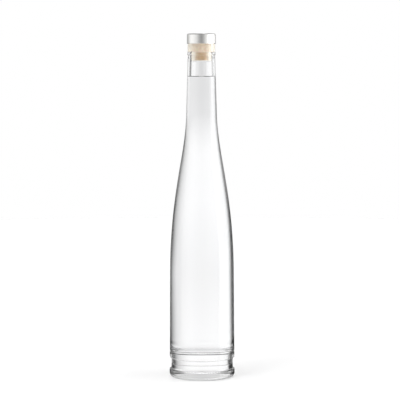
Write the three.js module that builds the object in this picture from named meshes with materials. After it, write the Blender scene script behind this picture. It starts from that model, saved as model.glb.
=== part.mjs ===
// A tall, slim spirits bottle in clear glass, filled with clear liquor and closed with a
// metal-topped cork stopper. Millimetres, +Z up, origin on the ground under the bottle's axis.
//
// Every piece is a turned form: its half section is drawn as (radius, height) points and
// revolved about the bottle's axis.

import * as THREE from "three";

// Bottle, outside
const bottleHeight = 336;
const bodyDiameter = 64.6;
const wallSplay = 0.0062;
const wallTop = 105;
const shoulderSwell = 82;
const shoulderLead = 42;
const neckFoot = 265;
const neckDiameter = 27.8;
const neckSplay = 0.0274;

// Foot, with the recessed waist above it
const footDiameter = 66;
const footTop = 8.1;
const heelRadius = 4;
const waistDiameter = 62.3;
const waistTop = 19.6;
const stepEdge = 0.7;
const restingRingWidth = 2.6;
const puntDepth = 2.6;

// Mouth: lip ring, bead and groove, from the top down
const lipDiameter = 27.6;
const lipHeight = 8.2;
const lipEdge = 1.3;
const beadDiameter = 28.5;
const beadHeight = 3.4;
const grooveDiameter = 27.2;
const grooveHeight = 4;
const boreDiameter = 20.6;
const boreDepth = 18.2;
const mouthEdge = 0.8;

// Inside of the glass
const bodyWall = 2.6;
const neckWall = 3.6;
const floorHeight = 26.4;
const floorCrown = 1.4;
const floorCorner = 5.5;

// Liquor
const headspace = 15;
const liquorClearance = 0.2;
const meniscusRise = 2;
const meniscusReach = 3.2;
const meniscusBend = 1;

// Stopper
const headDiameter = 29.1;
const headHeight = 10;
const headEdge = 1.2;
const shellWall = 0.7;
const insertClearance = 0.1;
const socketDepth = 3;
const corkLength = 17.3;
const corkClearance = 0.1;
const corkChamfer = 0.8;

// Faces around the axis, and along an edge, a bead or heel, a dome and a long curve
const facesRound = 48;
const edgeSteps = 3;
const beadSteps = 6;
const domeSteps = 5;
const curveSteps = 16;

const point = (radius, height) => new THREE.Vector2(radius, height);

const rightAngle = Math.PI / 2;

// A round stretch of a profile, by its centre, radius and the two end angles.
function arc(centre, radius, from, to, steps = edgeSteps) {
  const points = [];
  for (let i = 0; i <= steps; i += 1) {
    const angle = from + ((to - from) * i) / steps;
    points.push(point(centre.x + radius * Math.cos(angle), centre.y + radius * Math.sin(angle)));
  }
  return points;
}

// A shallow dome from a rim to the axis, as a parabola, listed from the axis out.
function dome(rimRadius, rimHeight, rise, steps = domeSteps) {
  const points = [];
  for (let i = 0; i <= steps; i += 1) {
    const share = i / steps;
    points.push(point(rimRadius * share, rimHeight + rise * (1 - share * share)));
  }
  return points;
}

// The shoulder, from the top of the wall up to the foot of the neck: it leaves each of them
// along their own slope.
function shoulder(wallRadius, neckRadius, neckSlope) {
  return new THREE.CubicBezierCurve(
    point(wallRadius, wallTop),
    point(wallRadius - wallSplay * shoulderSwell, wallTop + shoulderSwell),
    point(neckRadius + neckSlope * shoulderLead, neckFoot - shoulderLead),
    point(neckRadius, neckFoot),
  ).getPoints(curveSteps);
}

// Heights and radii that the glass and the liquor share
const lipBottom = bottleHeight - lipHeight;
const beadBottom = lipBottom - beadHeight;
const neckTop = beadBottom - grooveHeight;
const boreBottom = bottleHeight - boreDepth;
const boreRadius = boreDiameter / 2;
const outerWall = (height) => bodyDiameter / 2 + wallSplay * (wallTop - height);
const outerNeckFoot = neckDiameter / 2 + neckSplay * (neckTop - neckFoot);
const innerNeckFoot = outerNeckFoot - neckWall;
const innerNeckSlope = (innerNeckFoot - boreRadius) / (boreBottom - neckFoot);

// The underside: a shallow punt inside the ring that the bottle stands on.
function undersideProfile() {
  const ringOuter = footDiameter / 2 - heelRadius;
  return dome(ringOuter - restingRingWidth, 0, puntDepth);
}

// The foot, its heel and top edge, the waist and the lower edge of the wall.
function footProfile() {
  const footRadius = footDiameter / 2;
  const waistRadius = waistDiameter / 2;
  const heelCentre = point(footRadius - heelRadius, heelRadius);
  const footEdge = point(footRadius - stepEdge, footTop - stepEdge);
  const lowerFillet = point(waistRadius + stepEdge, footTop + stepEdge);
  const upperFillet = point(waistRadius + stepEdge, waistTop - stepEdge);
  const wallEdge = point(outerWall(waistTop) - stepEdge, waistTop + stepEdge);
  return [
    ...arc(heelCentre, heelRadius, -rightAngle, 0, beadSteps),
    ...arc(footEdge, stepEdge, 0, rightAngle),
    ...arc(lowerFillet, stepEdge, -rightAngle, -2 * rightAngle),
    ...arc(upperFillet, stepEdge, -2 * rightAngle, -3 * rightAngle),
    ...arc(wallEdge, stepEdge, -rightAngle, 0),
  ];
}

// The mouth, from the top of the neck over the groove, bead and lip into the bore.
function mouthProfile() {
  const grooveRadius = grooveDiameter / 2;
  const lipRadius = lipDiameter / 2;
  const lipCentre = point(lipRadius - lipEdge, bottleHeight - lipEdge);
  const mouthCentre = point(boreRadius + mouthEdge, bottleHeight - mouthEdge);
  const beadBulge = (beadDiameter - grooveDiameter) / 2;
  const bead = arc(point(0, 0), 1, -rightAngle, rightAngle, beadSteps).map((unit) =>
    point(grooveRadius + beadBulge * unit.x, beadBottom + (beadHeight / 2) * (1 + unit.y)),
  );
  return [
    point(neckDiameter / 2, neckTop),
    point(grooveRadius, neckTop + stepEdge),
    ...bead.slice(0, -1),
    point(lipRadius, lipBottom),
    ...arc(lipCentre, lipEdge, 0, rightAngle),
    ...arc(mouthCentre, mouthEdge, rightAngle, 2 * rightAngle),
    point(boreRadius, boreBottom),
  ];
}

// The inside of the glass from the foot of the bore down to the floor's axis, drawn inward
// by an inset so that the liquor follows the same curves.
function cavityProfile(inset) {
  const wallRadius = outerWall(wallTop) - bodyWall - inset;
  const neckRadius = innerNeckFoot - inset;
  const floor = floorHeight + inset;
  const cornerRadius = floorCorner - inset;
  const cornerHeight = floorHeight + floorCorner;
  const lowestWall = wallRadius + wallSplay * (wallTop - cornerHeight);
  const corner = point(lowestWall - cornerRadius, cornerHeight);
  return [
    ...shoulder(wallRadius, neckRadius, innerNeckSlope).reverse(),
    ...arc(corner, cornerRadius, 0, -rightAngle, beadSteps),
    ...dome(corner.x, floor, floorCrown).reverse().slice(1),
  ];
}

function bottleProfile() {
  return [
    ...undersideProfile(),
    ...footProfile(),
    ...shoulder(outerWall(wallTop), outerNeckFoot, neckSplay),
    ...mouthProfile(),
    ...cavityProfile(0),
  ];
}

// The liquor, filled to a headspace under the cork, its surface drawn up the glass at its rim.
function liquorProfile() {
  const fillHeight = bottleHeight - corkLength - headspace;
  const surfaceRadius = innerNeckFoot - innerNeckSlope * (fillHeight - neckFoot) - liquorClearance;
  const surfaceHeight = fillHeight - meniscusRise;
  return [
    point(0, surfaceHeight),
    point(surfaceRadius - meniscusReach, surfaceHeight),
    point(surfaceRadius - meniscusBend, surfaceHeight + meniscusRise / 2),
    point(surfaceRadius, fillHeight),
    ...cavityProfile(liquorClearance),
  ].reverse();
}

// The drawn metal shell over the stopper's head, open underneath.
function shellProfile() {
  const outer = headDiameter / 2;
  const inner = outer - shellWall;
  const top = bottleHeight + headHeight;
  const edgeCentre = point(outer - headEdge, top - headEdge);
  return [
    point(0, top - shellWall),
    ...arc(edgeCentre, headEdge - shellWall, rightAngle, 0),
    point(inner, bottleHeight),
    point(outer, bottleHeight),
    ...arc(edgeCentre, headEdge, 0, rightAngle),
    point(0, top),
  ];
}

// The disc that fills the shell, seated on the lip, with a socket for the cork.
function insertProfile() {
  const outer = headDiameter / 2 - shellWall - insertClearance;
  const top = bottleHeight + headHeight - shellWall - insertClearance;
  const socketRadius = boreRadius - corkClearance + insertClearance;
  const bevel = headEdge - shellWall;
  return [
    point(0, bottleHeight + socketDepth),
    point(socketRadius, bottleHeight + socketDepth),
    point(socketRadius, bottleHeight),
    point(outer, bottleHeight),
    point(outer, top - bevel),
    point(outer - bevel, top),
    point(0, top),
  ];
}

// The cork, from its chamfered lower end up into the socket of the disc.
function corkProfile() {
  const radius = boreRadius - corkClearance;
  const bottom = bottleHeight - corkLength;
  const top = bottleHeight + socketDepth - insertClearance;
  return [
    point(0, bottom),
    point(radius - corkChamfer, bottom),
    point(radius, bottom + corkChamfer),
    point(radius, top),
    point(0, top),
  ];
}

// Materials
const clearGlass = new THREE.MeshStandardMaterial({
  color: 0xf3f7f6,
  roughness: 0.03,
  metalness: 0,
  transparent: true,
  opacity: 0.3,
});
const clearLiquor = new THREE.MeshStandardMaterial({
  color: 0xf6f8fa,
  roughness: 0.02,
  metalness: 0,
  transparent: true,
  opacity: 0.4,
});
const satinAluminium = new THREE.MeshStandardMaterial({ color: 0xd9d9d6, roughness: 0.3, metalness: 1 });
const palePlastic = new THREE.MeshStandardMaterial({ color: 0xdcd8d0, roughness: 0.5, metalness: 0 });
const naturalCork = new THREE.MeshStandardMaterial({ color: 0xd2b08a, roughness: 0.85, metalness: 0 });

// Revolves a half section about the bottle's axis. A lathe turns about +Y, so it is stood up.
function turned(name, profile, material) {
  const mesh = new THREE.Mesh(new THREE.LatheGeometry(profile, facesRound), material);
  mesh.name = name;
  mesh.rotation.x = rightAngle;
  return mesh;
}

const liquorBottle = new THREE.Group();
liquorBottle.add(
  turned("bottle", bottleProfile(), clearGlass),
  turned("liquor", liquorProfile(), clearLiquor),
  turned("cap_shell", shellProfile(), satinAluminium),
  turned("head_disc", insertProfile(), palePlastic),
  turned("cork_shank", corkProfile(), naturalCork),
);

export default liquorBottle;
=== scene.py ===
import math

import bpy
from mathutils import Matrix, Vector
from mathutils.geometry import interpolate_bezier

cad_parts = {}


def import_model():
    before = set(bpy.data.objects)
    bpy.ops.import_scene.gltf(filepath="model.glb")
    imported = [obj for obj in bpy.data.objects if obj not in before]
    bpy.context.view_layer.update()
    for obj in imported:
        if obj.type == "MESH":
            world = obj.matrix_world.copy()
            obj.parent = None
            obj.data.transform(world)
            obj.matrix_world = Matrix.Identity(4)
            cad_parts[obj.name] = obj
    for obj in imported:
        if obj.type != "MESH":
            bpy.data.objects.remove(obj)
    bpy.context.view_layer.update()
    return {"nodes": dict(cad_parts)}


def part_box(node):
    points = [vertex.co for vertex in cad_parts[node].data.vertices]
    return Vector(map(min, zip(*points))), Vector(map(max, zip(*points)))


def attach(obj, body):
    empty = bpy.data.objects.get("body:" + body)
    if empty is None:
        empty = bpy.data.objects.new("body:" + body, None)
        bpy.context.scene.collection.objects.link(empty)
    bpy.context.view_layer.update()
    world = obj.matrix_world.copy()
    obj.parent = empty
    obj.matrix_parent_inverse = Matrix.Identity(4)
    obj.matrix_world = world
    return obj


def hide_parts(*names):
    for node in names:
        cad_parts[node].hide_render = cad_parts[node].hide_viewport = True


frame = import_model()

# A clear glass spirits bottle with its liquor and a metal-topped cork stopper, on a pale floor.
# Every piece is turned: a half section is drawn by extruding one vertex, then spun about +Z.

MM = 0.001
QUARTER = math.pi / 2

# Bottle, outside, in millimetres
BODY_DIAMETER = 64.6
WALL_SPLAY = 0.0062
WALL_TOP = 105
SHOULDER_SWELL = 82
SHOULDER_LEAD = 42
NECK_FOOT = 265
NECK_DIAMETER = 27.8
NECK_SPLAY = 0.0274

# Foot and waist
FOOT_TOP = 8.1
HEEL_RADIUS = 4
WAIST_DIAMETER = 62.3
WAIST_TOP = 19.6
STEP_EDGE = 0.7
RESTING_RING_WIDTH = 2.6
PUNT_DEPTH = 2.6

# Mouth
LIP_DIAMETER = 27.6
LIP_HEIGHT = 8.2
LIP_EDGE = 1.3
BEAD_DIAMETER = 28.5
BEAD_HEIGHT = 3.4
GROOVE_DIAMETER = 27.2
GROOVE_HEIGHT = 4
BORE_DIAMETER = 20.6
BORE_DEPTH = 18.2
MOUTH_EDGE = 0.8

# Inside of the glass
BODY_WALL = 2.6
NECK_WALL = 3.6
FLOOR_HEIGHT = 26.4
FLOOR_CROWN = 1.4
FLOOR_CORNER = 5.5

# Liquor, which stands off the glass by a gap too small to see
LIQUOR_GAP = 0.02
MENISCUS_RISE = 1.1
MENISCUS_DECAY = 1.1

# Stopper
SHELL_WALL = 0.7
HEAD_EDGE = 1.2
RIM_EDGE = 0.25
CORK_PRESSED_TO = 8.6
CORK_CHAMFER = 0.8
CORK_SQUEEZE = 0.04
CORK_TAPER = 0.6

# Refraction
GLASS_IOR = 1.52
LIQUOR_IOR = 1.36

# Faces round a turned piece
FACES_ROUND = 160
CORK_FACES = 96

# The CAD frame gives the heights that the pieces share
lip_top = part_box("bottle")[1].z / MM
foot_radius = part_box("bottle")[1].x / MM
fill_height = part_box("liquor")[1].z / MM
head_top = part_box("cap_shell")[1].z / MM
head_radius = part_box("cap_shell")[1].x / MM
cork_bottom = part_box("cork_shank")[0].z / MM
cork_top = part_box("cork_shank")[1].z / MM
cork_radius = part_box("cork_shank")[1].x / MM

lip_bottom = lip_top - LIP_HEIGHT
bead_bottom = lip_bottom - BEAD_HEIGHT
neck_top = bead_bottom - GROOVE_HEIGHT
bore_bottom = lip_top - BORE_DEPTH
bore_radius = BORE_DIAMETER / 2
outer_neck_foot = NECK_DIAMETER / 2 + NECK_SPLAY * (neck_top - NECK_FOOT)
inner_neck_foot = outer_neck_foot - NECK_WALL
inner_neck_slope = (inner_neck_foot - bore_radius) / (bore_bottom - NECK_FOOT)


def outer_wall(height):
    return BODY_DIAMETER / 2 + WALL_SPLAY * (WALL_TOP - height)


# Half sections: lists of (radius, height) in millimetres

def arc(centre, radius, start, end, steps=8):
    angles = [start + (end - start) * i / steps for i in range(steps + 1)]
    return [(centre[0] + radius * math.cos(a), centre[1] + radius * math.sin(a)) for a in angles]


def dome(rim_radius, rim_height, rise, steps=14):
    """A shallow parabola, from the axis out."""
    shares = [i / steps for i in range(steps + 1)]
    return [(rim_radius * s, rim_height + rise * (1 - s * s)) for s in shares]


def shoulder(wall_radius, neck_radius, neck_slope, steps=48):
    """From the top of the wall up to the foot of the neck."""
    knots = [
        (wall_radius, WALL_TOP),
        (wall_radius - WALL_SPLAY * SHOULDER_SWELL, WALL_TOP + SHOULDER_SWELL),
        (neck_radius + neck_slope * SHOULDER_LEAD, NECK_FOOT - SHOULDER_LEAD),
        (neck_radius, NECK_FOOT),
    ]
    curve = interpolate_bezier(*[Vector((r, 0, z)) for r, z in knots], steps)
    return [(p.x, p.z) for p in curve]


def held(section, longest=4, margin=0.25):
    """Adds a point near each end of a long run, so that shading stays true along it."""
    points = [section[0]]
    for here, there in zip(section, section[1:]):
        length = math.dist(here, there)
        if length > longest:
            for share in (margin / length, 1 - margin / length):
                points.append(tuple(a + (b - a) * share for a, b in zip(here, there)))
        points.append(there)
    return points


def foot_section():
    waist = WAIST_DIAMETER / 2
    heel = (foot_radius - HEEL_RADIUS, HEEL_RADIUS)
    foot_edge = (foot_radius - STEP_EDGE, FOOT_TOP - STEP_EDGE)
    lower_fillet = (waist + STEP_EDGE, FOOT_TOP + STEP_EDGE)
    upper_fillet = (waist + STEP_EDGE, WAIST_TOP - STEP_EDGE)
    wall_edge = (outer_wall(WAIST_TOP) - STEP_EDGE, WAIST_TOP + STEP_EDGE)
    return [
        *arc(heel, HEEL_RADIUS, -QUARTER, 0, 12),
        *arc(foot_edge, STEP_EDGE, 0, QUARTER),
        *arc(lower_fillet, STEP_EDGE, -QUARTER, -2 * QUARTER),
        *arc(upper_fillet, STEP_EDGE, -2 * QUARTER, -3 * QUARTER),
        *arc(wall_edge, STEP_EDGE, -QUARTER, 0),
    ]


def mouth_section():
    groove = GROOVE_DIAMETER / 2
    lip = LIP_DIAMETER / 2
    bulge = (BEAD_DIAMETER - GROOVE_DIAMETER) / 2
    bead = [
        (groove + bulge * x, bead_bottom + BEAD_HEIGHT / 2 * (1 + y))
        for x, y in arc((0, 0), 1, -QUARTER, QUARTER, 14)
    ]
    return [
        (NECK_DIAMETER / 2, neck_top),
        (groove, neck_top + STEP_EDGE),
        *bead[:-1],
        (lip, lip_bottom),
        *arc((lip - LIP_EDGE, lip_top - LIP_EDGE), LIP_EDGE, 0, QUARTER),
        *arc((bore_radius + MOUTH_EDGE, lip_top - MOUTH_EDGE), MOUTH_EDGE, QUARTER, 2 * QUARTER),
        (bore_radius, bore_bottom),
    ]


def cavity_section(inset):
    """The inside of the glass below the bore, drawn inward by an inset."""
    wall = outer_wall(WALL_TOP) - BODY_WALL - inset
    corner_height = FLOOR_HEIGHT + FLOOR_CORNER
    lowest_wall = wall + WALL_SPLAY * (WALL_TOP - corner_height)
    corner_radius = FLOOR_CORNER - inset
    corner = (lowest_wall - corner_radius, corner_height)
    return [
        *reversed(shoulder(wall, inner_neck_foot - inset, inner_neck_slope)),
        *arc(corner, corner_radius, 0, -QUARTER, 14),
        *reversed(dome(corner[0], FLOOR_HEIGHT + inset, FLOOR_CROWN)[:-1]),
    ]


def neck_cavity_radius(height):
    return inner_neck_foot - inner_neck_slope * (height - NECK_FOOT)


def bottle_section():
    ring = foot_radius - HEEL_RADIUS - RESTING_RING_WIDTH
    contact = (neck_cavity_radius(fill_height), fill_height)
    return [
        *dome(ring, 0, PUNT_DEPTH),
        *foot_section(),
        *shoulder(outer_wall(WALL_TOP), outer_neck_foot, NECK_SPLAY),
        *mouth_section(),
        contact,
        *cavity_section(0),
    ]


def liquor_section():
    """The liquor climbs the glass at its rim and settles to a level within a few millimetres."""
    rim = neck_cavity_radius(fill_height) - LIQUOR_GAP
    steps = 16
    surface = []
    for i in range(steps + 1):
        run = rim * (1 - (1 - i / steps) ** 2)
        climb = MENISCUS_RISE * math.exp(-(rim - run) / MENISCUS_DECAY)
        surface.append((run, fill_height - MENISCUS_RISE + climb))
    return [*surface, *cavity_section(LIQUOR_GAP)]


def shell_section():
    inner = head_radius - SHELL_WALL
    edge = (head_radius - HEAD_EDGE, head_top - HEAD_EDGE)
    return [
        (0, head_top - SHELL_WALL),
        *arc(edge, HEAD_EDGE - SHELL_WALL, QUARTER, 0),
        (inner, lip_top + RIM_EDGE),
        *arc((inner + RIM_EDGE, lip_top + RIM_EDGE), RIM_EDGE, 2 * QUARTER, 3 * QUARTER, 4),
        *arc((head_radius - RIM_EDGE, lip_top + RIM_EDGE), RIM_EDGE, -QUARTER, 0, 4),
        *arc(edge, HEAD_EDGE, 0, QUARTER, 12),
        (0, head_top),
    ]


def cork_section():
    """Pressed hard against the glass at the top of the bore, and free of it below."""
    pressed = bore_radius + CORK_SQUEEZE
    squeeze_end = lip_top - CORK_PRESSED_TO
    return [
        (0, cork_bottom),
        (cork_radius - CORK_CHAMFER, cork_bottom),
        (cork_radius, cork_bottom + CORK_CHAMFER),
        (cork_radius, squeeze_end - CORK_TAPER),
        (pressed, squeeze_end),
        (pressed, lip_top - MOUTH_EDGE),
        (cork_radius, lip_top),
        (cork_radius, cork_top),
        (0, cork_top),
    ]


# Modelling

def deselect_all():
    bpy.ops.object.select_all(action="DESELECT")


def turned(name, section, body, node, faces=FACES_ROUND):
    """Extrudes one vertex along the half section and spins it about the bottle's axis."""
    points = [Vector((r * MM, 0, z * MM)) for r, z in held(section)]
    deselect_all()
    bpy.ops.mesh.primitive_plane_add(size=MM, location=points[0])
    piece = bpy.context.object
    piece.name = name
    piece.data.name = name
    bpy.ops.object.mode_set(mode="EDIT")
    bpy.ops.mesh.merge(type="CENTER")
    for here, there in zip(points, points[1:]):
        bpy.ops.mesh.extrude_region_move(TRANSFORM_OT_translate={"value": there - here})
    bpy.ops.mesh.select_all(action="SELECT")
    bpy.ops.mesh.spin(steps=faces, angle=2 * math.pi, center=(0, 0, 0), axis=(0, 0, 1))
    bpy.ops.mesh.select_all(action="SELECT")
    bpy.ops.mesh.remove_doubles(threshold=0.001 * MM)
    bpy.ops.mesh.normals_make_consistent(inside=False)
    bpy.ops.object.mode_set(mode="OBJECT")
    bpy.ops.object.transform_apply(location=True, rotation=True, scale=True)
    bpy.ops.object.shade_smooth_by_angle(angle=math.radians(32))
    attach(piece, body)
    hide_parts(node)
    return piece


# Node helpers

def node_material(name):
    material = bpy.data.materials.new(name)
    material.use_nodes = True
    nodes = material.node_tree.nodes
    return material, nodes, material.node_tree.links, nodes["Principled BSDF"]


def feed(links, socket, value):
    """Gives a socket a number or a colour, or links it to another socket."""
    if isinstance(value, (int, float)):
        socket.default_value = value
    elif isinstance(value, tuple):
        socket.default_value = (*value, 1)
    else:
        links.new(value, socket)


def grey(level):
    return (level, level, level)


def math_node(nodes, links, operation, first, second=None):
    node = nodes.new("ShaderNodeMath")
    node.operation = operation
    feed(links, node.inputs[0], first)
    if second is not None:
        feed(links, node.inputs[1], second)
    return node.outputs[0]


def mixed(nodes, links, factor, first, second, blend="MIX"):
    node = nodes.new("ShaderNodeMix")
    node.data_type = "RGBA"
    node.blend_type = blend
    for name, value in (("Factor", factor), ("A", first), ("B", second)):
        feed(links, node.inputs[name], value)
    return node.outputs["Result"]


def mapped(nodes, links, value, start, end, low=0, high=1, kind="LINEAR"):
    """Carries a value from start..end to low..high."""
    node = nodes.new("ShaderNodeMapRange")
    node.interpolation_type = kind
    settings = (("From Min", start), ("From Max", end), ("To Min", low), ("To Max", high))
    for name, level in settings:
        node.inputs[name].default_value = level
    links.new(value, node.inputs["Value"])
    return node.outputs["Result"]


def noise(nodes, links, scale, detail=2, stretch=(1, 1, 1)):
    """Noise in the piece's own coordinates."""
    coordinates = nodes.new("ShaderNodeTexCoord")
    mapping = nodes.new("ShaderNodeMapping")
    if isinstance(stretch, tuple):
        mapping.inputs["Scale"].default_value = stretch
    else:
        links.new(stretch, mapping.inputs["Scale"])
    texture = nodes.new("ShaderNodeTexNoise")
    texture.inputs["Scale"].default_value = scale
    texture.inputs["Detail"].default_value = detail
    links.new(coordinates.outputs["Object"], mapping.inputs["Vector"])
    links.new(mapping.outputs["Vector"], texture.inputs["Vector"])
    return texture.outputs["Fac"]


def bumped(nodes, links, shader, height, strength, depth):
    """Tilts the surface by a height, to a depth in millimetres."""
    bump = nodes.new("ShaderNodeBump")
    bump.inputs["Strength"].default_value = strength
    bump.inputs["Distance"].default_value = depth * MM
    links.new(height, bump.inputs["Height"])
    links.new(bump.outputs["Normal"], shader.inputs["Normal"])


# Materials

def wave_group():
    """The faint long waves that blown glass keeps, as a height."""
    group = bpy.data.node_groups.new("blown_waves", "ShaderNodeTree")
    group.interface.new_socket("Stretch", in_out="INPUT", socket_type="NodeSocketVector")
    group.interface.new_socket("Height", in_out="OUTPUT", socket_type="NodeSocketFloat")
    nodes, links = group.nodes, group.links
    inputs = nodes.new("NodeGroupInput")
    outputs = nodes.new("NodeGroupOutput")
    height = noise(nodes, links, 60, 1, inputs.outputs["Stretch"])
    links.new(height, outputs.inputs["Height"])
    return group


def glass(name, ior, waves, strength):
    material, nodes, links, shader = node_material(name)
    shader.inputs["Roughness"].default_value = 0
    shader.inputs["IOR"].default_value = ior
    shader.inputs["Transmission Weight"].default_value = 1
    blown = nodes.new("ShaderNodeGroup")
    blown.node_tree = waves
    blown.inputs["Stretch"].default_value = (1, 1, 0.25)
    height = blown.outputs["Height"]
    tint = mixed(nodes, links, height, (0.985, 0.987, 0.992), grey(1))
    links.new(tint, shader.inputs["Base Color"])
    bumped(nodes, links, shader, height, strength, 0.05)
    return material


def cork_material():
    """Pale cork, darker where it is damp, with a painted highlight that pales its edges at a grazing
    view.
    """
    material, nodes, links, shader = node_material("pressed_cork")
    shader.inputs["Roughness"].default_value = 0.8
    coordinates = nodes.new("ShaderNodeTexCoord").outputs["Object"]

    # Grain
    streaks = noise(nodes, links, 420, 5)
    ramp = nodes.new("ShaderNodeValToRGB")
    dark, pale = ramp.color_ramp.elements
    dark.position, dark.color = 0.3, (0.84, 0.65, 0.48, 1)
    pale.position, pale.color = 0.62, (0.97, 0.82, 0.64, 1)
    links.new(streaks, ramp.inputs["Fac"])
    grains = nodes.new("ShaderNodeTexVoronoi")
    grains.inputs["Scale"].default_value = 900
    links.new(coordinates, grains.inputs["Vector"])
    dry = mixed(nodes, links, 0.1, ramp.outputs["Color"], grains.outputs["Color"], "MULTIPLY")

    # Damp below the lip ring
    height = nodes.new("ShaderNodeSeparateXYZ")
    links.new(coordinates, height.inputs[0])
    damp_top = lip_bottom * MM
    dampness = mapped(nodes, links, height.outputs["Z"], damp_top - 2 * MM, damp_top, 1, 0)
    damp = mixed(nodes, links, dampness, dry, (0.75, 0.62, 0.46), "MULTIPLY")

    # Painted highlight: a pale colour at a grazing view stands in for side light on the cork's edges,
    # most of it seen through the glass
    grazing = nodes.new("ShaderNodeLayerWeight").outputs["Facing"]
    painted_edge_highlight = mapped(nodes, links, grazing, 0, 0.36, kind="SMOOTHSTEP")
    behind_glass = nodes.new("ShaderNodeLightPath").outputs["Is Transmission Ray"]
    share = math_node(nodes, links, "MULTIPLY", behind_glass, 0.7)
    share = math_node(nodes, links, "ADD", share, 0.3)
    share = math_node(nodes, links, "MULTIPLY", share, painted_edge_highlight)
    # Mixes the painted edge highlight into the cork's colour
    cork_with_painted_highlight = mixed(nodes, links, share, damp, (0.96, 0.9, 0.78))
    links.new(cork_with_painted_highlight, shader.inputs["Base Color"])
    bumped(nodes, links, shader, streaks, 0.4, 0.15)
    return material


def cap_material():
    """Satin aluminium, with the fine rings that spinning leaves."""
    material, nodes, links, shader = node_material("satin_aluminium")
    shader.inputs["Metallic"].default_value = 1
    rings = noise(nodes, links, 120, 3, (1, 1, 60))
    satin = mapped(nodes, links, rings, 0, 1, 0.2, 0.3)
    links.new(satin, shader.inputs["Roughness"])
    colour = mixed(nodes, links, rings, (0.86, 0.855, 0.835), (0.93, 0.925, 0.91))
    links.new(colour, shader.inputs["Base Color"])
    bumped(nodes, links, shader, rings, 0.1, 0.02)
    return material


def disc_material():
    material, nodes, links, shader = node_material("pale_plastic")
    shader.inputs["Roughness"].default_value = 0.45
    mottle = noise(nodes, links, 400)
    colour = mixed(nodes, links, mottle, (0.68, 0.65, 0.6), (0.76, 0.73, 0.68))
    links.new(colour, shader.inputs["Base Color"])
    return material


# The pieces

waves = wave_group()
clear_glass = glass("clear_glass", GLASS_IOR, waves, 0.15)
wetted_glass = glass("wetted_glass", GLASS_IOR / LIQUOR_IOR, waves, 0.15)
liquor_surface = glass("liquor_surface", LIQUOR_IOR, waves, 0)
liquor_at_glass = glass("liquor_at_glass", 1, waves, 0)

bottle = turned("clear_bottle", bottle_section(), "bottle_body", "bottle")
bottle.data.materials.append(clear_glass)
bottle.data.materials.append(wetted_glass)


def is_wetted(polygon):
    radius = math.hypot(polygon.center.x, polygon.center.y)
    height = polygon.center.z
    inward = polygon.normal.x * polygon.center.x + polygon.normal.y * polygon.center.y
    in_cavity = inward < 0 or radius < 1 * MM or polygon.normal.z > 0.3
    return in_cavity and FLOOR_HEIGHT * MM - 1e-5 < height < fill_height * MM


for polygon in bottle.data.polygons:
    polygon.material_index = int(is_wetted(polygon))

liquor = turned("clear_liquor", liquor_section(), "bottle_body", "liquor")
liquor.data.materials.append(liquor_surface)
liquor.data.materials.append(liquor_at_glass)
surface_bottom = (fill_height - MENISCUS_RISE) * MM
for polygon in liquor.data.polygons:
    at_glass = polygon.center.z < surface_bottom - 1e-6 or polygon.normal.z < 0.05
    polygon.material_index = int(at_glass)

cap = turned("spun_cap", shell_section(), "stopper", "cap_shell")
cap.data.materials.append(cap_material())

cork = turned("pressed_cork_shank", cork_section(), "stopper", "cork_shank", CORK_FACES)
cork.data.materials.append(cork_material())

disc = frame["nodes"]["head_disc"]
disc.material_slots[0].material = disc_material()


# Studio: a pale floor, and surroundings that fall off to the sides as a light tent does

FLOOR_RADIUS = 2
FLOOR_COLOUR = 0.8
FLOOR_LIFT = 0.12

# Brightness of the surroundings away from the bands below
FLOOR_THROUGH_GLASS = 0.9
SHADE_BEHIND_BASE = 0.48
ROOM = 0.68
OVERHEAD = 2.2
DIM_ROOM = 0.25
SIDE_LIGHT_CUT = 0.6

# Brightness of the surroundings by compass angle to the right of the camera's line of sight.
# Glass shows three bands of them: below the horizon, at it, and above it.
BELOW = [(-90, 0.95), (-80, 0.9), (-74, 0.0), (-54, 0.01), (-48, 0.06), (-43, 0.62),
         (-40, 0.78), (-34, 0.86), (-27, 0.92), (-23, 0.93), (-20, 1), (-10, 1.03), (13, 1.03),
         (20, 0.97), (26, 0.86), (33, 0.72), (38, 0.61), (43, 0.46), (47, 0.3), (51, 0.13), (56, 0.03),
         (72, 0.01), (80, 0.9), (90, 0.95)]
LEVEL = [(-90, 0.95), (-78, 0.9), (-72, 0.1), (-48, 0.15), (-38, 0.35), (-36, 0.86), (-21.5, 0.95),
         (-19.5, 0.77), (0, 0.78), (28, 0.82), (31, 1), (46, 1), (52, 0.3), (70, 0.1), (80, 1),
         (90, 1)]
ABOVE = [(-90, 1), (-72, 0.8), (-60, 0.2), (-42, 0.3), (-35, 0.45), (-32, 1), (-8, 1), (-5, 0.86),
         (-2, 0.74), (0, 0.71), (2, 0.74), (5, 0.86), (7, 1), (30, 1), (34, 0.6), (56, 0.5),
         (66, 0.9), (90, 1)]
# Polished surfaces mirror a softbox on each side, and the dim room behind the camera
MIRRORED = [(-180, 0.3), (-166, 0.42), (-157, 0.56), (-142, 0.84), (-124, 0.98), (-110, 1.1),
            (-84, 1.1), (-74, 0.8), (-66, 0.4), (-57, 0.2), (-14, 0.2), (-8, 0.7), (6, 0.7),
            (12, 0.06), (58, 0.05), (63, 2), (70, 3.2), (110, 3.2), (118, 1.4), (137, 0.96),
            (154, 0.66), (166, 0.44), (180, 0.3)]

# The same above the horizon, where the softboxes' pale frames close the dark gaps
MIRRORED_HIGH = [(-180, 0.3), (-166, 0.42), (-157, 0.56), (-142, 0.84), (-124, 0.98), (-110, 1.1),
                 (-84, 1.1), (-62, 0.8), (-34, 0.5), (0, 0.5), (34, 0.75), (58, 0.8), (63, 2), (70, 3),
                 (110, 3), (118, 1.4), (137, 0.96), (154, 0.66), (166, 0.44), (180, 0.3)]

# What lights matt surfaces: the same softboxes, without the hard edges
LIGHTING = [(-180, 0.85), (-150, 1), (-125, 1.6), (-100, 2.3), (-75, 2.3), (-50, 1), (0, 0.9),
            (50, 1), (75, 3.4), (105, 3.4), (130, 2), (150, 1.1), (180, 0.85)]


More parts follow.
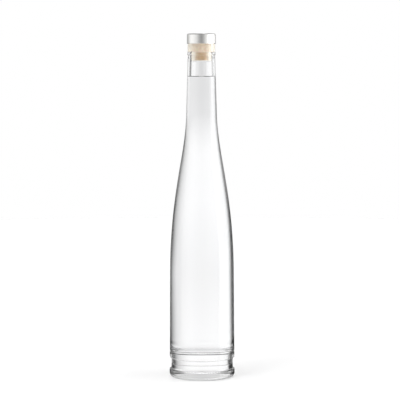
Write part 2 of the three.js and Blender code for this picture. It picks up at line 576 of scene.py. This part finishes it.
def ramp_node(nodes, stops):
    node = nodes.new("ShaderNodeValToRGB")
    node.color_ramp.interpolation = "LINEAR"
    elements = node.color_ramp.elements
    while len(elements) < len(stops):
        elements.new(0.5)
    for element, (position, value) in zip(elements, stops):
        element.position = position
        element.color = (value, value, value, 1)
    return node


def world():
    studio = bpy.data.worlds.new("studio")
    bpy.context.scene.world = studio
    studio.use_nodes = True
    nodes, links = studio.node_tree.nodes, studio.node_tree.links
    nodes.clear()
    coordinates = nodes.new("ShaderNodeTexCoord")
    split = nodes.new("ShaderNodeSeparateXYZ")
    links.new(coordinates.outputs["Generated"], split.inputs[0])
    x, y, z = split.outputs

    def m(operation, first, second=None):
        return math_node(nodes, links, operation, first, second)

    def degrees(angle):
        return m("MULTIPLY", angle, 180 / math.pi)

    def blend(factor, first, second):
        return mixed(nodes, links, factor, first, second)

    def around(stops, turn, half):
        """A band's brightness at a compass angle from -half to half."""
        ramp = ramp_node(nodes, [((angle + half) / (2 * half), level) for angle, level in stops])
        share = m("DIVIDE", m("ADD", turn, half), 2 * half)
        links.new(share, ramp.inputs["Fac"])
        return ramp.outputs["Color"]

    def rise(start, end):
        return mapped(nodes, links, elevation, start, end)

    elevation = degrees(m("ARCSINE", z))
    folded = degrees(m("ARCTAN2", x, m("ABSOLUTE", y)))
    full = degrees(m("ARCTAN2", x, y))

    # Seen through the glass, from the floor up. A shade lies behind the thick base.
    shade = blend(rise(-58, -52), grey(FLOOR_THROUGH_GLASS), grey(SHADE_BEHIND_BASE))
    ground = blend(rise(-49, -43), shade, grey(FLOOR_THROUGH_GLASS))
    through = blend(rise(-24, -13), ground, around(BELOW, folded, 90))
    through = blend(rise(-9.5, -1.5), through, around(LEVEL, folded, 90))
    through = blend(rise(-0.6, 0.2), through, around(ABOVE, folded, 90))
    through = blend(rise(2, 5), through, grey(ROOM))
    through = blend(rise(45, 60), through, grey(OVERHEAD))

    # Mirrored by a polished surface
    low = around(MIRRORED, full, 180)
    high = around(MIRRORED_HIGH, full, 180)
    softboxes = blend(rise(-2.5, 0.3), low, high)
    over_softboxes = m("MULTIPLY", rise(12, 30), m("SUBTRACT", 1, rise(60, 75)))
    mirrored = blend(over_softboxes, softboxes, grey(DIM_ROOM))

    # Falling on a matt surface. Glass takes part of the light, so what it doesn't cover gets
    # less from the sides.
    path = nodes.new("ShaderNodeLightPath")
    uncovered = m("MULTIPLY", path.outputs["Is Diffuse Ray"], m("SUBTRACT", 1, rise(40, 60)))
    cut = m("MULTIPLY", uncovered, SIDE_LIGHT_CUT)
    lit = blend(cut, around(LIGHTING, full, 180), grey(0))

    # A refracted ray counts as glossy too, so a pure reflection is what is left without it
    pure = m("SUBTRACT", path.outputs["Is Glossy Ray"], path.outputs["Is Transmission Ray"])
    matt = m("GREATER_THAN", path.outputs["Diffuse Depth"], 0.5)
    polished = m("MULTIPLY", m("MAXIMUM", pure, 0), m("SUBTRACT", 1, matt))
    seen = blend(polished, blend(matt, through, lit), mirrored)
    seen = blend(path.outputs["Is Camera Ray"], seen, grey(1))
    background = nodes.new("ShaderNodeBackground")
    output = nodes.new("ShaderNodeOutputWorld")
    links.new(seen, background.inputs["Color"])
    links.new(background.outputs[0], output.inputs["Surface"])


def floor():
    """Pale and matt. Polished surfaces see through it to the surroundings."""
    deselect_all()
    bpy.ops.mesh.primitive_circle_add(
        vertices=96, radius=FLOOR_RADIUS, fill_type="NGON", location=(0, 0, 0)
    )
    sweep = bpy.context.object
    sweep.name = "pale_floor"
    material, nodes, links, shader = node_material("pale_floor")
    feed(links, shader.inputs["Base Color"], grey(FLOOR_COLOUR))
    shader.inputs["Roughness"].default_value = 0.9
    shader.inputs["Specular IOR Level"].default_value = 0
    path = nodes.new("ShaderNodeLightPath").outputs
    lift = math_node(nodes, links, "MULTIPLY", path["Is Camera Ray"], FLOOR_LIFT)
    feed(links, shader.inputs["Emission Color"], grey(1))
    links.new(lift, shader.inputs["Emission Strength"])
    clear = nodes.new("ShaderNodeBsdfTransparent")
    mix = nodes.new("ShaderNodeMixShader")
    polished = math_node(nodes, links, "MAXIMUM", path["Is Glossy Ray"], path["Is Transmission Ray"])
    links.new(polished, mix.inputs["Fac"])
    links.new(shader.outputs[0], mix.inputs[1])
    links.new(clear.outputs[0], mix.inputs[2])
    links.new(mix.outputs[0], nodes["Material Output"].inputs["Surface"])
    sweep.data.materials.append(material)


def lamp(name, place, size, energy, aim=(0, 0, 0.15)):
    deselect_all()
    bpy.ops.object.light_add(type="AREA", location=place)
    light = bpy.context.object
    light.name = name
    light.data.shape = "DISK"
    light.data.size = size
    light.data.energy = energy
    light.rotation_euler = (Vector(aim) - Vector(place)).to_track_quat("-Z", "Y").to_euler()
    light.visible_glossy = False
    light.visible_transmission = False


def camera():
    place = (-0.0015, -1.711, 0.2998)
    pitch = math.radians(4.04)
    roll = math.radians(0.13)
    bpy.ops.object.camera_add(location=place, rotation=(QUARTER - pitch, roll, 0))
    view = bpy.context.object
    view.data.sensor_width = 36
    view.data.lens = 153
    view.data.clip_end = 50
    bpy.context.scene.camera = view


world()
floor()
lamp("soft_key", (-1.2, -1.4, 2.2), 1.2, 14)
camera()
bpy.context.scene.view_settings.view_transform = "Standard"
